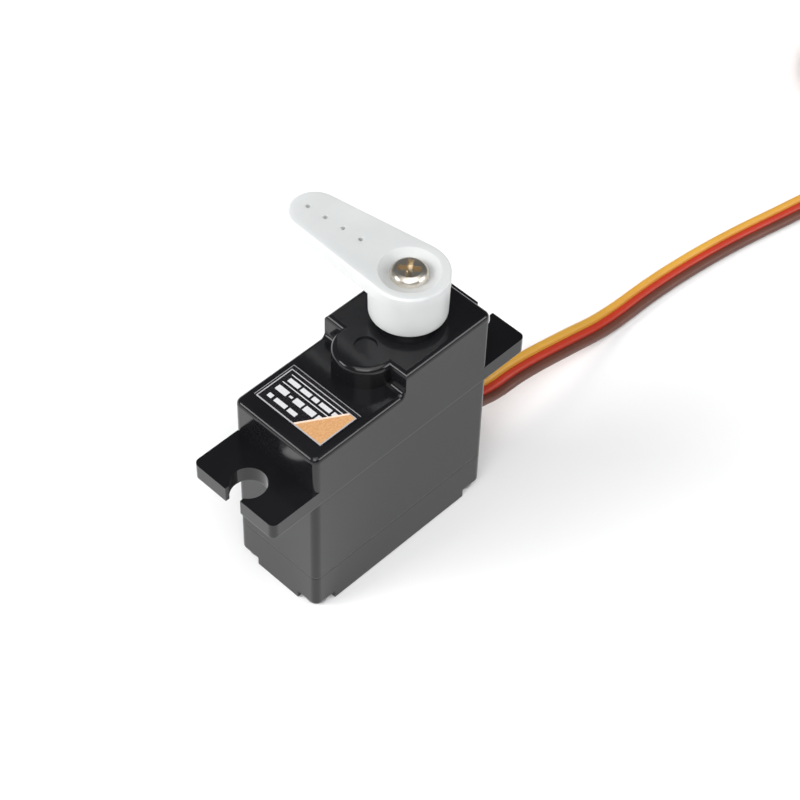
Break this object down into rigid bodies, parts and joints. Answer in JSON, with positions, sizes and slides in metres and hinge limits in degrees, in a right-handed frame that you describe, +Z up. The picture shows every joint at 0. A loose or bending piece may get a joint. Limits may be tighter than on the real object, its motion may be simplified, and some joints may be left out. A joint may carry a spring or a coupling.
{
  "type": "servo motor",
  "caption": "Small rectangular hobby servo motor with slotted mounting ears, a stepped gear case, a single-arm horn and a three-wire lead with plug.",
  "frame": {"origin": "centre of the flat pad under the case, the face that the servo stands on", "axes": "+Z up along the output shaft, +X along the case towards the output shaft and the lead, +Y the way the horn's arm points"},
  "size_m": [0.1741, 0.0262, 0.0383],
  "materials": {
    "case_black": "glossy moulded black plastic",
    "label_film": "printed film sticker",
    "screw_steel": "plated steel screws",
    "bronze": "sintered bronze",
    "steel": "ground steel",
    "motor_steel": "drawn, plated steel can",
    "motor_plastic": "moulded plastic",
    "magnet": "sintered magnet",
    "spring_copper": "spring bronze",
    "copper": "enamelled copper",
    "core_steel": "laminated steel",
    "brass": "machined brass",
    "gear_nylon": "moulded nylon",
    "horn_white": "moulded natural white nylon",
    "horn_screw_nickel": "nickel-plated steel",
    "pot_plastic": "moulded plastic",
    "pot_carbon": "carbon film",
    "pot_metal": "spring bronze",
    "lead_tinned": "tinned wire",
    "board_green": "glass-epoxy board",
    "chip_black": "moulded chip package",
    "capacitor_tan": "ceramic chip",
    "resistor_black": "ceramic chip",
    "grommet_rubber": "moulded rubber",
    "wire_yellow": "soft insulation",
    "wire_red": "soft insulation",
    "wire_brown": "soft insulation",
    "tie_black": "twist tie",
    "plug_black": "moulded plastic",
    "contact_gold": "gold-plated contact"
  },
  "bodies": {
    "housing": {"case_top": "case_black", "case_middle": "case_black", "case_bottom": "case_black", "label": "label_film", "case_screws": "screw_steel", "output_bush": "bronze", "motor_bushes": "bronze", "idler_pin": "steel", "motor_can": "motor_steel", "motor_end_cap": "motor_plastic", "motor_magnets": "magnet", "motor_brushes": "spring_copper", "motor_terminals": "spring_copper", "pot_terminals": "spring_copper", "pot_body": "pot_plastic", "pot_track": "pot_carbon", "pot_leads": "lead_tinned", "circuit_board": "board_green", "control_chip": "chip_black", "driver_chips": "chip_black", "chip_capacitors": "capacitor_tan", "chip_resistors": "resistor_black", "lead_grommet": "grommet_rubber", "inner_wire_signal": "wire_yellow", "lead": "wire_yellow", "lead_hank": "wire_yellow", "lead_tail": "wire_yellow", "inner_wire_power": "wire_red", "inner_wire_ground": "wire_brown", "lead_tie": "tie_black", "plug_housing": "plug_black", "plug_contacts": "contact_gold"},
    "rotor": {"motor_shaft": "steel", "armature_core": "core_steel", "armature_windings": "copper", "commutator": "copper", "motor_pinion": "brass"},
    "first_reduction": {"first_gear": "gear_nylon"},
    "second_reduction": {"second_gear": "gear_nylon"},
    "third_reduction": {"third_gear": "gear_nylon"},
    "output": {"output_gear": "gear_nylon", "pot_shaft": "steel", "pot_wiper": "pot_metal", "horn": "horn_white", "horn_screw": "horn_screw_nickel"}
  },
  "joints": [
    {"name": "rotor_spin", "type": "hinge", "parent": "housing", "child": "rotor", "pos_m": [-0.006, 0, 0.01], "axis": [0, 0, 1], "range_deg": [-17700, 17700]},
    {"name": "first_gear_spin", "type": "hinge", "parent": "housing", "child": "first_reduction", "pos_m": [0.0002, 0, 0.02], "axis": [0, 0, 1], "range_deg": [-3404, 3404]},
    {"name": "second_gear_spin", "type": "hinge", "parent": "housing", "child": "second_reduction", "pos_m": [0.00695, 0, 0.022], "axis": [0, 0, 1], "range_deg": [-973, 973]},
    {"name": "third_gear_spin", "type": "hinge", "parent": "housing", "child": "third_reduction", "pos_m": [0.0002, 0, 0.024], "axis": [0, 0, 1], "range_deg": [-278, 278]},
    {"name": "output_turn", "type": "hinge", "parent": "housing", "child": "output", "pos_m": [0.00695, 0, 0.03], "axis": [0, 0, 1], "range_deg": [-90, 90]}
  ],
  "couplings": [
    {"joint": "first_gear_spin", "follows": "rotor_spin", "ratio": -0.19231},
    {"joint": "second_gear_spin", "follows": "rotor_spin", "ratio": 0.054945},
    {"joint": "third_gear_spin", "follows": "rotor_spin", "ratio": -0.015699},
    {"joint": "output_turn", "follows": "rotor_spin", "ratio": 0.005079}
  ]
}
